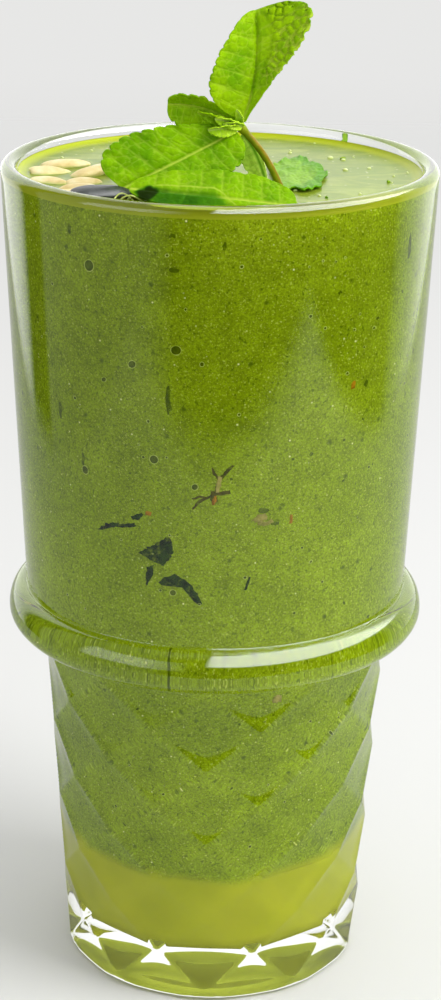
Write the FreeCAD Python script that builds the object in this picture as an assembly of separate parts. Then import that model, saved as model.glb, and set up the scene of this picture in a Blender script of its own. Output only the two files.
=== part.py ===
"""Green smoothie in a tall stacking glass, with a mint sprig and a dark seed on top.

Millimetres. The origin is on the glass's axis at the surface it stands on, +Z is up and -Y is the
front. The glass is smooth above a solid ring and has a diamond-cut lower body.
"""
import FreeCAD
import Part

import math
import os

# ---- driving dimensions --------------------------------------------------------------------
# glass, outside
HEIGHT = 158.5            # foot to rim
RIM_R = 40.0              # outside radius at the rim
SHOULDER_R = 36.4         # outside radius just above the ring
RING_R = 39.8             # outermost radius of the solid ring
RING_Z = 72.5             # height of the ring's outermost line
RING_ABOVE = 4.7          # from that line up to the shoulder
RING_BELOW = 4.6          # and down to the neck
NECK_R = 33.3             # outside radius just below the ring
FOOT_R = 29.35            # outside radius just above the heel
HEEL_R = 2.1              # rounding of the heel
FOOT_RING = 4.75          # width of the flat ring that the glass stands on
PUNT_DEPTH = 0.9          # shallow recess inside that ring

# glass, inside
RIM_WALL = 3.1            # wall thickness at the rim
SHOULDER_WALL = 3.2
NECK_WALL = 3.2
FOOT_WALL = 4.0
BASE = 9.5                # thickness of the glass under the drink
FLOOR_FILLET = 4.0

# diamond cuts of the lower body
CUT_COLUMNS = 10
CUT_ROWS = 9              # rows of crossings, alternately in line with and between the columns
CUT_FIRST_Z = 4.0         # lowest row
CUT_BAND = 1.9            # plain band between the highest row and the neck
CUT_DEPTH = 0.75          # hollow of each diamond below its corners
CUT_TURN = -2.3           # angle of the lowest row's first crossing from the front, in degrees

# drink
FREE_HEIGHT = 2.5         # from the drink's surface up to the rim
JUICE_DEPTH = 16.5        # clear yellow-green layer that has settled at the bottom

# mint sprig: the node is where the leaves meet the stem
NODE_X = 3.6
NODE_SETBACK = 23.85      # from the front of the drink back to the node
NODE_RISE = 10.9          # height of the node above the drink
NODE_R = 0.95
STEM_R = 0.6
STEM_LEAN = 7.3           # sideways distance from the node to where the stem enters the drink
STEM_BOW = 0.9            # how far the stem bulges from a straight line
STEM_SUNK = 4.0           # length of stem below the surface
LEAF_THICKNESS = 0.4
PETIOLE_HALF = 0.45       # half the width of a leaf where it leaves the stem
TIP_HALF = 0.12
LEAF_CLEARANCE = 0.25     # between the drink and the leaves that lie on it

# dark seed beside the tip of the left leaf
SEED_LENGTH = 11.0
SEED_WIDTH = 6.2
SEED_HEIGHT = 3.0
SEED_FROM_TIP = (-3.6, -1.0)
SEED_TURN = 8.0           # degrees from the X axis
SEED_SUNK = 0.8

LEAF_STEPS_LONG = 14
LEAF_STEPS_WIDE = 6       # across both halves

LIP = RIM_WALL / 2        # rounding of the rim
SHOULDER_Z = RING_Z + RING_ABOVE
NECK_Z = RING_Z - RING_BELOW
CUT_TOP_Z = NECK_Z - CUT_BAND
CUT_PITCH = (CUT_TOP_Z - CUT_FIRST_Z) / (CUT_ROWS - 1)
SURFACE_Z = HEIGHT - FREE_HEIGHT
LAYER_Z = BASE + JUICE_DEPTH

V = FreeCAD.Vector
Z_AXIS = V(0, 0, 1)


# ---- glass -----------------------------------------------------------------------------------
def revolve(edges):
    """Solid of revolution about Z of a closed outline in the XZ plane."""
    face = Part.Face(Part.Wire(edges))
    return face.revolve(V(0, 0, 0), Z_AXIS, 360)


def line(a, b):
    """Straight edge between two (radius, height) points."""
    return Part.makeLine(V(a[0], 0, a[1]), V(b[0], 0, b[1]))


def arc(centre, radius, start_deg, end_deg):
    """Circular edge in the XZ plane; 0 degrees points outwards and 90 degrees up."""
    def at(deg):
        t = math.radians(deg)
        return V(centre[0] + radius * math.cos(t), 0, centre[1] + radius * math.sin(t))
    return Part.Arc(at(start_deg), at((start_deg + end_deg) / 2), at(end_deg)).toShape()


def quarter_ellipse(inner_r, outer_r, centre_z, half_height):
    """Edge from the ring's outermost line to where it joins the wall, above or below."""
    steps = 8
    points = []
    for i in range(steps + 1):
        t = math.pi / 2 * i / steps
        r = inner_r + (outer_r - inner_r) * math.cos(t)
        points.append(V(r, 0, centre_z + half_height * math.sin(t)))
    curve = Part.BSplineCurve()
    curve.interpolate(points)
    return curve.toShape()


def body_radius(z):
    """Outside radius of the lower body at its crossings."""
    return FOOT_R + (NECK_R - FOOT_R) * (z - HEEL_R) / (NECK_Z - HEEL_R)


def cut_row_z(row):
    return CUT_FIRST_Z + row * CUT_PITCH


def upper_glass():
    """Round part: neck, solid ring, smooth wall and rim, solid inside."""
    neck_r = body_radius(CUT_TOP_Z)
    below = quarter_ellipse(NECK_R, RING_R, RING_Z, NECK_Z - RING_Z)
    above = quarter_ellipse(SHOULDER_R, RING_R, RING_Z, SHOULDER_Z - RING_Z)
    lip_z = HEIGHT - LIP
    return revolve([
        line((0, CUT_TOP_Z), (neck_r, CUT_TOP_Z)),
        line((neck_r, CUT_TOP_Z), (NECK_R, NECK_Z)),
        below,
        above,
        line((SHOULDER_R, SHOULDER_Z), (RIM_R, lip_z)),
        arc((RIM_R - LIP, lip_z), LIP, 0, 90),
        line((RIM_R - LIP, HEIGHT), (0, HEIGHT)),
        line((0, HEIGHT), (0, CUT_TOP_Z)),
    ])


def cut_point(row, half_column, depth=0.0):
    """Point on the lower body: half columns count the crossings' half spacing round the glass."""
    z = cut_row_z(row)
    angle = math.radians(CUT_TURN + half_column * 180.0 / CUT_COLUMNS - 90.0)
    r = body_radius(z) - depth
    return V(r * math.cos(angle), r * math.sin(angle), z)


def triangle(a, b, c):
    return Part.Face(Part.makePolygon([a, b, c, a]))


def end_ring(row):
    """Corners of the outline where the lowest or highest row of diamonds is cut in half."""
    ring = []
    for half in range(2 * CUT_COLUMNS):
        hollow = CUT_DEPTH if (half + row) % 2 else 0.0
        ring.append(cut_point(row, half, hollow))
    return ring


def diamond_body():
    """Lower body between the lowest and highest rows: each diamond is four facets round a hollow centre."""
    last = CUT_ROWS - 1
    faces = []
    for row in range(CUT_ROWS):
        for half in range(2 * CUT_COLUMNS):
            if (half + row) % 2 == 0:
                continue
            centre = cut_point(row, half, CUT_DEPTH)
            left, right = cut_point(row, half - 1), cut_point(row, half + 1)
            if row < last:
                top = cut_point(row + 1, half)
                faces += [triangle(centre, top, left), triangle(centre, right, top)]
            if row > 0:
                bottom = cut_point(row - 1, half)
                faces += [triangle(centre, left, bottom), triangle(centre, bottom, right)]
    for row in (0, last):
        ring = end_ring(row)
        faces.append(Part.Face(Part.makePolygon(ring + [ring[0]])))
    return Part.makeSolid(Part.makeShell(faces))


def lower_glass():
    """Diamond body carried down to the foot, with a rounded heel and a shallow punt."""
    ring = end_ring(0)
    foot = [V(p.x, p.y, 0) for p in ring]
    prism = Part.Face(Part.makePolygon(foot + [foot[0]])).extrude(V(0, 0, CUT_FIRST_Z))
    body = diamond_body().fuse(prism)
    margin = 1.0
    flat_r = FOOT_R - HEEL_R
    envelope = revolve([
        line((0, 0), (flat_r, 0)),
        arc((flat_r, HEEL_R), HEEL_R, -90, 0),
        line((FOOT_R, HEEL_R), (NECK_R + margin, CUT_FIRST_Z + margin)),
        line((NECK_R + margin, CUT_FIRST_Z + margin), (NECK_R + margin, CUT_TOP_Z + margin)),
        line((NECK_R + margin, CUT_TOP_Z + margin), (0, CUT_TOP_Z + margin)),
        line((0, CUT_TOP_Z + margin), (0, 0)),
    ])
    punt_r = flat_r - FOOT_RING
    sphere_r = (punt_r ** 2 + PUNT_DEPTH ** 2) / (2 * PUNT_DEPTH)
    punt = Part.makeSphere(sphere_r, V(0, 0, PUNT_DEPTH - sphere_r))
    return body.common(envelope).cut(punt)


def cavity():
    """Inside of the glass, from the floor to above the rim."""
    foot_r = body_radius(BASE) - FOOT_WALL
    neck_r = body_radius(CUT_TOP_Z) - NECK_WALL
    shoulder_r = SHOULDER_R - SHOULDER_WALL
    rim_r = RIM_R - RIM_WALL
    floor = FLOOR_FILLET
    slope = (neck_r - foot_r) / (CUT_TOP_Z - BASE)
    fillet_end = (foot_r + slope * floor, BASE + floor)
    above = HEIGHT + LIP
    corner = Part.Arc(
        V(fillet_end[0] - floor, 0, BASE),
        V(fillet_end[0] - floor * (1 - math.sqrt(0.5)), 0, BASE + floor * (1 - math.sqrt(0.5))),
        V(fillet_end[0], 0, fillet_end[1]),
    ).toShape()
    return revolve([
        line((0, BASE), (fillet_end[0] - floor, BASE)),
        corner,
        line(fillet_end, (neck_r, CUT_TOP_Z)),
        line((neck_r, CUT_TOP_Z), (shoulder_r, SHOULDER_Z)),
        line((shoulder_r, SHOULDER_Z), (rim_r, HEIGHT - LIP)),
        arc((rim_r + LIP, HEIGHT - LIP), LIP, 180, 90),
        line((rim_r + LIP, HEIGHT), (rim_r + LIP, above)),
        line((rim_r + LIP, above), (0, above)),
        line((0, above), (0, BASE)),
    ])


def slab(low, high):
    """Disc wide enough to cross the whole glass."""
    return Part.makeCylinder(RIM_R + 1.0, high - low, V(0, 0, low))


# ---- mint ------------------------------------------------------------------------------------
def surface_radius():
    """Radius of the drink's surface."""
    shoulder_r, rim_r = SHOULDER_R - SHOULDER_WALL, RIM_R - RIM_WALL
    share = (SURFACE_Z - SHOULDER_Z) / (HEIGHT - LIP - SHOULDER_Z)
    return shoulder_r + (rim_r - shoulder_r) * share


NODE = V(NODE_X, NODE_SETBACK - surface_radius(), SURFACE_Z + NODE_RISE)


def from_node(dx, dy, dz):
    """Point given by its distance from the node of the sprig."""
    return NODE + V(dx, dy, dz)


def on_drink(dx, dy, rise):
    """Point of a leaf on the drink: its place beside the node, and its rise above lying flat."""
    return V(NODE.x + dx, NODE.y + dy, SURFACE_Z + LEAF_CLEARANCE + LEAF_THICKNESS / 2 + rise)


# Each leaf: midrib from its base through a control point to its tip, the direction of its right
# half, and for each half (greatest width, where that is along the midrib, forward sweep of the
# veins in degrees, lift of the half in degrees, bluntness: smaller is blunter).
LEAVES = {
    "mint_leaf_upright": dict(
        midrib=(from_node(0.3, 0.0, 1.0), from_node(3.4, -0.4, 9.1), from_node(2.3, 3.5, 20.4)),
        side=V(1, 0.1, 0), left=(7.9, 0.30, 8, 8, 0.55), right=(10.6, 0.76, 24, 16, 0.8), cup=1.2),
    "mint_leaf_small": dict(
        midrib=(from_node(-0.9, 0.5, 0.8), from_node(-6.1, 1.0, 4.1), from_node(-12.9, -0.2, 4.1)),
        side=V(0, -0.35, 1), left=(4.2, 0.62, 10, 20, 0.4), right=(3.1, 0.66, 14, 20, 0.4), cup=0.4),
    "mint_bud": dict(
        midrib=(from_node(-0.9, -0.8, 0.7), from_node(-4.0, -1.9, 2.1), from_node(-7.6, -2.8, 3.1)),
        side=V(0, -0.5, 1), left=(1.2, 0.5, 5, 40, 0.6), right=(1.4, 0.5, 5, 40, 0.6), cup=0.2),
    "mint_leaf_left": dict(
        midrib=(from_node(-0.9, -0.8, -0.5), from_node(-7.6, -2.5, -4.0), on_drink(-20.6, -7.6, 0.9)),
        side=V(-0.15, 0.35, 1), left=(6.6, 0.38, -8, 20, 0.6), right=(9.0, 0.68, 29, 8, 0.38), cup=0.8),
    "mint_leaf_front": dict(
        midrib=(on_drink(9.6, -17.6, 0.3), on_drink(-1.6, -16.5, 0.8), on_drink(-19.2, -10.6, 1.1)),
        side=V(0, 0.9, 0.4), left=(3.9, 0.5, 5, 18, 0.6), right=(6.3, 0.46, 10, 6, 0.4), cup=0.5),
    "mint_leaf_back": dict(
        midrib=(from_node(0.3, 0.9, -1.2), from_node(2.6, 1.3, -3.6), on_drink(4.7, 2.1, 0.2)),
        side=V(-1, -0.2, 0.1), left=(0.8, 0.5, 0, -10, 0.6), right=(3.0, 0.5, 10, -20, 0.5), cup=0.3),
    "mint_leaf_float": dict(
        midrib=(on_drink(10.7, -2.2, 0.0), on_drink(10.0, 11.0, 0.15), on_drink(12.3, 25.5, 0.0)),
        side=V(1, 0, 0), left=(4.4, 0.58, 5, 0, 0.7), right=(5.2, 0.5, 5, 0, 0.45), cup=0.0),
}


def leaf_frame(leaf, u):
    """Centre, forward, side and normal directions of a leaf at the share u of its midrib."""
    base, control, tip = leaf["midrib"]
    centre = base * (1 - u) ** 2 + control * (2 * u * (1 - u)) + tip * u ** 2
    forward = (control - base) * (2 * (1 - u)) + (tip - control) * (2 * u)
    forward.normalize()
    side = leaf["side"] - forward * forward.dot(leaf["side"])
    side.normalize()
    return centre, forward, side, side.cross(forward)


def half_width(half, u):
    """Width of one half of a leaf: round sides between a narrow stalk and a small tip."""
    width, widest, _, _, blunt = half
    swell = math.sin(math.pi * u ** (math.log(0.5) / math.log(widest)))
    return width * max(0.0, swell) ** blunt + PETIOLE_HALF * (1 - u) ** 3 + TIP_HALF


def leaf_point(leaf, u, v):
    """Point of a leaf's middle surface: u runs along the midrib, v from -1 to 1 across it."""
    centre, forward, side, normal = leaf_frame(leaf, u)
    half = leaf["right"] if v >= 0 else leaf["left"]
    sweep, lift = math.radians(half[2]), math.radians(half[3])
    across = side * math.copysign(math.cos(lift), v) + normal * math.sin(lift)
    vein = across * math.cos(sweep) + forward * math.sin(sweep)
    cup = normal * (leaf["cup"] * v * v * math.sin(math.pi * u))
    return centre + vein * (abs(v) * half_width(half, u)) + cup


def leaf_solid(leaf):
    """Leaf of even thickness, in flat facets."""
    rows, columns = LEAF_STEPS_LONG, LEAF_STEPS_WIDE
    top, bottom = [], []
    for i in range(rows + 1):
        u = i / rows
        offset = leaf_frame(leaf, u)[3] * (LEAF_THICKNESS / 2)
        middle = [leaf_point(leaf, u, 2 * j / columns - 1) for j in range(columns + 1)]
        top.append([p + offset for p in middle])
        bottom.append([p - offset for p in middle])
    faces = []
    for i in range(rows):
        for j in range(columns):
            for grid in (top, bottom):
                a, b, c, d = grid[i][j], grid[i + 1][j], grid[i + 1][j + 1], grid[i][j + 1]
                faces += [triangle(a, b, c), triangle(a, c, d)]
    rim = [(i, 0) for i in range(rows)] + [(rows, j) for j in range(columns)]
    rim += [(rows - i, columns) for i in range(rows)] + [(0, columns - j) for j in range(columns)]
    for (i, j), (k, m) in zip(rim, rim[1:] + rim[:1]):
        a, b, c, d = top[i][j], top[k][m], bottom[k][m], bottom[i][j]
        faces += [triangle(a, b, c), triangle(a, c, d)]
    solid = Part.makeSolid(Part.makeShell(faces))
    if solid.Volume < 0:
        solid.reverse()
    return solid


def mint_stem():
    """Bowed stem from below the surface up to the round node."""
    entry = V(NODE.x + STEM_LEAN, NODE.y, SURFACE_Z)
    along = entry - NODE
    along.normalize()
    end = entry + along * STEM_SUNK
    bulge = V(-along.z, 0, along.x) * STEM_BOW
    path = Part.Wire(Part.Arc(NODE, (NODE + end) * 0.5 + bulge, end).toShape())
    start = path.Edges[0].tangentAt(path.Edges[0].FirstParameter)
    section = Part.Wire(Part.makeCircle(STEM_R, NODE, start))
    tube = path.makePipeShell([section], True, True)
    return tube.fuse(Part.makeSphere(NODE_R, NODE)).removeSplitter()


# ---- seed ------------------------------------------------------------------------------------
def dark_seed():
    """Flat-topped seed, pointed at both ends and half round below its edge."""
    half_l, half_w = SEED_LENGTH / 2, SEED_WIDTH / 2
    reach = (half_l ** 2 + half_w ** 2) / (2 * half_w)
    lens = None
    for sign in (1, -1):
        column = Part.makeCylinder(reach, SEED_HEIGHT, V(0, sign * (reach - half_w), 0))
        lens = column if lens is None else lens.common(column)
    dome_r = (half_l ** 2 + SEED_HEIGHT ** 2) / (2 * SEED_HEIGHT) + 1.0
    dome = Part.makeSphere(dome_r, V(0, 0, SEED_HEIGHT - dome_r))
    seed = lens.common(dome)
    seed.rotate(V(0, 0, 0), Z_AXIS, SEED_TURN)
    tip = LEAVES["mint_leaf_left"]["midrib"][-1]
    seed.translate(V(tip.x + SEED_FROM_TIP[0], tip.y + SEED_FROM_TIP[1], SURFACE_Z - SEED_SUNK))
    return seed


# ---- assembly --------------------------------------------------------------------------------
def build():
    inside = cavity()
    stem = mint_stem()
    seed = dark_seed()
    nodes = {
        "glass": lower_glass().fuse(upper_glass()).cut(inside),
        "smoothie": inside.common(slab(LAYER_Z, SURFACE_Z)).cut(stem).cut(seed),
        "juice_layer": inside.common(slab(BASE - 1.0, LAYER_Z)),
        "mint_stem": stem,
        "dark_seed": seed,
    }
    for name, leaf in LEAVES.items():
        nodes[name] = leaf_solid(leaf)
    return nodes


def export(nodes):
    os.makedirs("parts", exist_ok=True)
    for name, shape in nodes.items():
        if len(shape.Solids) != 1:
            raise ValueError(f"{name} has {len(shape.Solids)} solids")
        shape.Solids[0].exportStep(f"parts/{name}.step")
        print(f"{name}: {shape.Volume / 1000:.3f} cm3, {len(shape.Faces)} faces, valid {shape.isValid()}")


export(build())
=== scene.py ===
"""Green smoothie in a tall stacking glass: the looks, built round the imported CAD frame.

Shapes are in millimetres. The stage, the lights and the camera are in metres.
"""

import math
import random
from collections import namedtuple

import bpy
import numpy as np
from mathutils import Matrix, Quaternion, Vector, noise


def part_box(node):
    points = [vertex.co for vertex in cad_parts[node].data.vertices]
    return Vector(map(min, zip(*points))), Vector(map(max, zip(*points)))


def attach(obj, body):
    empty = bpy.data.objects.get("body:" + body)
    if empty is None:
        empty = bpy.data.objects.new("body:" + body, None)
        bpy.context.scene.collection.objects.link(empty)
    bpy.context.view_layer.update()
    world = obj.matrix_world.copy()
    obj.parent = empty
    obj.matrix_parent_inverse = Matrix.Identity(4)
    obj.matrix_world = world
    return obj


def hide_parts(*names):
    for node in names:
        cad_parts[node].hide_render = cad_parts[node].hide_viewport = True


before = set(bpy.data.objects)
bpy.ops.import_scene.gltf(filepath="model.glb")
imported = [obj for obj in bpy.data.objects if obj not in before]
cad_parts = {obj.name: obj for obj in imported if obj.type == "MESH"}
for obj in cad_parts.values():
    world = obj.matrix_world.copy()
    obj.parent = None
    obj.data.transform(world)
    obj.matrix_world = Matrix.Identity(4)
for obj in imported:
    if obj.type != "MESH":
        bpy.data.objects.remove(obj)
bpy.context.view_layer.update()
MM = 0.001
BODY = "root"
rng = random.Random(7)

# ---- sizes, taken from the frame where it gives them ----
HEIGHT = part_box("glass")[1].z / MM
RIM_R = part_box("glass")[1].x / MM
SURFACE_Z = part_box("smoothie")[1].z / MM
LAYER_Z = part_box("juice_layer")[1].z / MM
FLOOR_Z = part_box("juice_layer")[0].z / MM
RIM_WALL = 3.1
LIP = RIM_WALL / 2
LIP_Z = HEIGHT - LIP
SHOULDER_R, SHOULDER_Z = 36.4, 77.2
RING_R, RING_Z = 39.8, 72.5
NECK_R, NECK_Z = 33.3, 67.9
FOOT_R, HEEL_R = 29.35, 2.1
FOOT_RING, PUNT_DEPTH = 4.75, 0.9
SHOULDER_WALL, NECK_WALL, FOOT_WALL = 3.2, 3.2, 4.0
STEP_Z, STEP_REACH = 71.5, 9.0  # where the inside steps out behind the ring
STEP_SOFTNESS = 1.6
FLOOR_FILLET = 4.0
CUT_COLUMNS, CUT_ROWS = 10, 9
CUT_FIRST_Z, CUT_TOP_Z = 2.6, 66.0
CUT_PITCH = (CUT_TOP_Z - CUT_FIRST_Z) / (CUT_ROWS - 1)
CUT_TURN = -2.3
CUT_SCOOP = 0.4  # how far a diamond is hollowed beyond its straight-lined saddle
SCOOP_AT_FOOT = 0.3  # share of the scoop that is left near the foot
SCOOP_LOW_Z, SCOOP_FULL_Z = 6.0, 14.0
CUT_STEPS = 16  # mesh steps along one side of a diamond
SEGMENTS = 2 * CUT_COLUMNS * CUT_STEPS
ARC_STEPS = 24  # mesh steps along each half of the ring's bulge
LIP_STEPS = 16
DRINK_SEGMENTS = 192
INTO_WALL = 0.06  # how far the drink reaches into the glass, so no air shows
MENISCUS = ((0, 0.85), (0.15, 0.66), (0.4, 0.42), (0.8, 0.22), (1.4, 0.08), (2.2, 0.02), (3.2, 0.0))
LIFT_LOW_Z, LIFT_HIGH_Z = 62.0, 130.0  # painted light: the drink's colour is paler below and darker above, for the light that comes up from below
SCATTERED_SMUDGES, SCATTERED_BUBBLES, SCATTERED_FROTH = 90, 300, 46


# ---- small shape helpers ----
def round_angles(count):
    """Evenly spaced angles of a full turn, in radians."""
    return np.linspace(0, 2 * math.pi, count, endpoint=False)


def spin(x, y, angle):
    """Point turned about the origin by an angle in radians."""
    return x * math.cos(angle) - y * math.sin(angle), x * math.sin(angle) + y * math.cos(angle)


def smooth_step(x):
    x = min(1.0, max(0.0, x))
    return x * x * (3 - 2 * x)


def unit(v):
    return v / np.linalg.norm(v)


def bezier(points, u):
    a, b, c = points
    return a * (1 - u) ** 2 + b * 2 * u * (1 - u) + c * u * u


def bezier_ahead(points, u):
    a, b, c = points
    return unit((b - a) * (1 - u) + (c - b) * u)


def mesh_object(name, points, faces, materials, slot=None, replaces=()):
    """Smooth piece made of points in millimetres, riding on the one body."""
    mesh = bpy.data.meshes.new(name)
    mesh.from_pydata((np.asarray(points, float) * MM).tolist(), [], faces)
    mesh.polygons.foreach_set("use_smooth", [True] * len(mesh.polygons))
    for material in materials:
        mesh.materials.append(material)
    mesh.update()
    piece = bpy.data.objects.new(name, mesh)
    bpy.context.scene.collection.objects.link(piece)
    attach(piece, BODY)
    if replaces:
        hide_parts(*replaces)
    return piece


def paint(piece, name, values):
    """Stores one number for each point, for a material to read."""
    attribute = piece.data.attributes.new(name, "FLOAT", "POINT")
    attribute.data.foreach_set("value", np.asarray(values, np.float32))


def second_material(piece, chosen):
    """Gives the piece's second material to the faces whose height passes a test."""
    for polygon in piece.data.polygons:
        polygon.material_index = int(chosen(polygon.center.z / MM))


def turned_faces(rows, columns, closed_low, closed_high):
    """Quads between rings of points; a closed end is a single point, the first or the last."""
    faces, start = [], 1 if closed_low else 0
    for i in range(rows - 1):
        a, b = start + i * columns, start + (i + 1) * columns
        for j in range(columns):
            k = (j + 1) % columns
            faces.append((a + j, a + k, b + k, b + j))
    last = start + (rows - 1) * columns
    if closed_low:
        faces += [(0, start + (j + 1) % columns, start + j) for j in range(columns)]
    if closed_high:
        faces += [(last + columns, last + j, last + (j + 1) % columns) for j in range(columns)]
    return faces


def turned(name, profile, materials, **options):
    """Surface of revolution of (radius, height) points that starts and ends on the axis."""
    points = [(0, 0, profile[0][1])]
    for r, z in profile[1:-1]:
        points += [(r * math.cos(a), r * math.sin(a), z) for a in round_angles(DRINK_SEGMENTS)]
    points.append((0, 0, profile[-1][1]))
    faces = turned_faces(len(profile) - 2, DRINK_SEGMENTS, True, True)
    return mesh_object(name, points, faces, materials, **options)


def join(parts):
    """Points and faces of many parts as those of one."""
    points, faces = [], []
    for more_points, more_faces in parts:
        start = len(points)
        points += list(more_points)
        faces += [tuple(i + start for i in face) for face in more_faces]
    return points, faces


# ---- material helpers ----
class Shader:
    """Node material, with short ways to make and link the nodes used here."""

    def __init__(self, name, **values):
        self.material = bpy.data.materials.new(name)
        self.material.use_nodes = True
        self.tree = self.material.node_tree
        self.bsdf = self.tree.nodes["Principled BSDF"]
        self.output = self.tree.nodes["Material Output"]
        self.fill(self.bsdf, values)

    def link(self, source, target):
        self.tree.links.new(source, target)

    def feed(self, value, target):
        """Links an output, or sets a number, a vector or a colour."""
        if isinstance(value, bpy.types.NodeSocket):
            self.link(value, target)
        elif target.type == "RGBA" and not isinstance(value, (int, float)):
            target.default_value = (*value, 1)
        else:
            target.default_value = value

    def fill(self, node, values):
        """Capitalised values go to the node's inputs, and the others are its settings."""
        for key, value in values.items():
            if key[0].isupper():
                self.feed(value, node.inputs[key.replace("_", " ")])
            else:
                setattr(node, key, value)

    def node(self, kind, **values):
        made = self.tree.nodes.new("ShaderNode" + kind)
        self.fill(made, values)
        return made

    def base(self, tone):
        """Links the base colour."""
        self.link(tone, self.bsdf.inputs["Base Color"])

    def blend(self, share, first, second):
        """Surface that is the second shader by the share, and the first for the rest."""
        made = self.node("MixShader", Fac=share)
        self.link(first.outputs[0], made.inputs[1])
        self.link(second.outputs[0], made.inputs[2])
        self.link(made.outputs[0], self.output.inputs["Surface"])

    def parts(self, vector):
        """The three numbers of a vector or colour, as outputs X, Y and Z."""
        return self.node("SeparateXYZ", Vector=vector).outputs

    def position(self):
        return self.node("TexCoord").outputs["Object"]

    def height(self):
        return self.parts(self.position())["Z"]

    def noise(self, scale, detail=3.0, rough=0.5, stretch=(1, 1, 1), distortion=0.0):
        place = self.node("Mapping", Vector=self.position(), Scale=stretch).outputs[0]
        return self.node("TexNoise", Vector=place, Scale=scale, Detail=detail, Roughness=rough,
                         Distortion=distortion).outputs["Fac"]

    def attribute(self, name):
        return self.node("Attribute", attribute_name=name).outputs["Fac"]

    def ramp(self, value, *stops):
        """Stops are (position, number) or (position, colour)."""
        made = self.node("ValToRGB", Fac=value)
        elements = made.color_ramp.elements
        while len(elements) < len(stops):
            elements.new(0.5)
        for element, (where, what) in zip(elements, stops):
            tone = (what, what, what) if isinstance(what, (int, float)) else what
            element.position = where
            element.color = (*tone, 1)
        return made.outputs["Color"]

    def span(self, value, start, stop, how="SMOOTHSTEP"):
        """0 where the value is at start, rising to 1 at stop, and level beyond both."""
        return self.node("MapRange", interpolation_type=how, Value=value, From_Min=start,
                         From_Max=stop).outputs[0]

    def mix(self, factor, a, b, how="MIX"):
        return self.node("Mix", data_type="RGBA", blend_type=how, Factor=factor, A=a,
                         B=b).outputs["Result"]

    def times(self, a, b):
        return self.mix(1.0, a, b, "MULTIPLY")

    def math(self, how, *values):
        made = self.node("Math", operation=how)
        for value, target in zip(values, made.inputs):
            self.feed(value, target)
        return made.outputs[0]

    def dots(self, base, tint, scale, radii, picks, strength):
        """Round specks in some cells: radii are where a speck fades, picks which cells have one."""
        cells = self.node("TexVoronoi", Vector=self.position(), Scale=scale).outputs
        speck = self.ramp(cells["Distance"], (radii[0], 1.0), (radii[1], 0.0))
        chance = self.parts(cells["Color"])["X"]
        picked = self.ramp(chance, (picks[0], 0.0), (picks[1], strength))
        return self.mix(self.math("MULTIPLY", speck, picked), base, tint)

    def bump(self, height, strength, distance):
        made = self.node("Bump", Height=height, Strength=strength, Distance=distance)
        self.link(made.outputs[0], self.bsdf.inputs["Normal"])

    def rays(self):
        """Two switches: 1 for rays straight from the camera, and 1 for mirrored rays."""
        path = self.node("LightPath").outputs
        mirrored = self.math("MULTIPLY", path["Is Glossy Ray"], path["Is Reflection Ray"])
        return path["Is Camera Ray"], mirrored


def colour(red, green, blue):
    """Screen colour 0 to 255 as the linear colour that a shader takes."""
    def linear(c):
        c /= 255
        return c / 12.92 if c <= 0.04045 else ((c + 0.055) / 1.055) ** 2.4
    return tuple(linear(c) for c in (red, green, blue))


# ---- glass ----
def body_radius(z):
    """Outside radius of the straight lower body, through the corners of the diamonds."""
    return FOOT_R + (NECK_R - FOOT_R) * (z - HEEL_R) / (NECK_Z - HEEL_R)


def heel_radius(z):
    """Limit of the outside near the foot, where the heel is rounded."""
    if z >= HEEL_R:
        return body_radius(z) + (z - HEEL_R)
    return FOOT_R - HEEL_R + math.sqrt(max(0.0, HEEL_R ** 2 - (HEEL_R - z) ** 2))


def crossing(s, t):
    """Corner of the diamonds, s and t counting along the two families of ridges."""
    z = CUT_FIRST_Z + (s + t) * CUT_PITCH
    angle = math.radians(CUT_TURN - 90 + (s - t) * 180 / CUT_COLUMNS)
    r = body_radius(z)
    return np.array([r * math.cos(angle), r * math.sin(angle), z])


def cut_surface(around, up):
    """Point of the cut surface: around and up count half columns and rows of diamonds."""
    s, t = (up + around) / 2, (up - around) / 2
    i, j = math.floor(s), math.floor(t)
    fs, ft = s - i, t - j
    low = crossing(i, j) * (1 - fs) + crossing(i + 1, j) * fs
    high = crossing(i, j + 1) * (1 - fs) + crossing(i + 1, j + 1) * fs
    point = low * (1 - ft) + high * ft
    above_foot = smooth_step((point[2] - SCOOP_LOW_Z) / (SCOOP_FULL_Z - SCOOP_LOW_Z))
    scoop = CUT_SCOOP * (SCOOP_AT_FOOT + (1 - SCOOP_AT_FOOT) * above_foot)
    hollow = scoop * (1 - (2 * fs - 1) ** 4) * (1 - (2 * ft - 1) ** 4)
    point[:2] *= 1 - hollow / math.hypot(point[0], point[1])
    return point


def cut_row(up):
    """One ring of points of the lower body, blended into the heel and the plain neck."""
    ring = []
    z = CUT_FIRST_Z + up * CUT_PITCH
    plain = smooth_step((z - CUT_TOP_Z) / (NECK_Z - CUT_TOP_Z))
    for k in range(SEGMENTS):
        x, y, _ = cut_surface(k / CUT_STEPS, up)
        r = math.hypot(x, y)
        wanted = min(r + (body_radius(z) - r) * plain, heel_radius(z))
        ring.append((x * wanted / r, y * wanted / r, z))
    return ring


def round_row(r, z):
    """One round ring of points, in step with the diamonds."""
    start, step = math.radians(CUT_TURN - 90), 2 * math.pi / SEGMENTS
    turns = [start + k * step for k in range(SEGMENTS)]
    return [(r * math.cos(a), r * math.sin(a), z) for a in turns]


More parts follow.
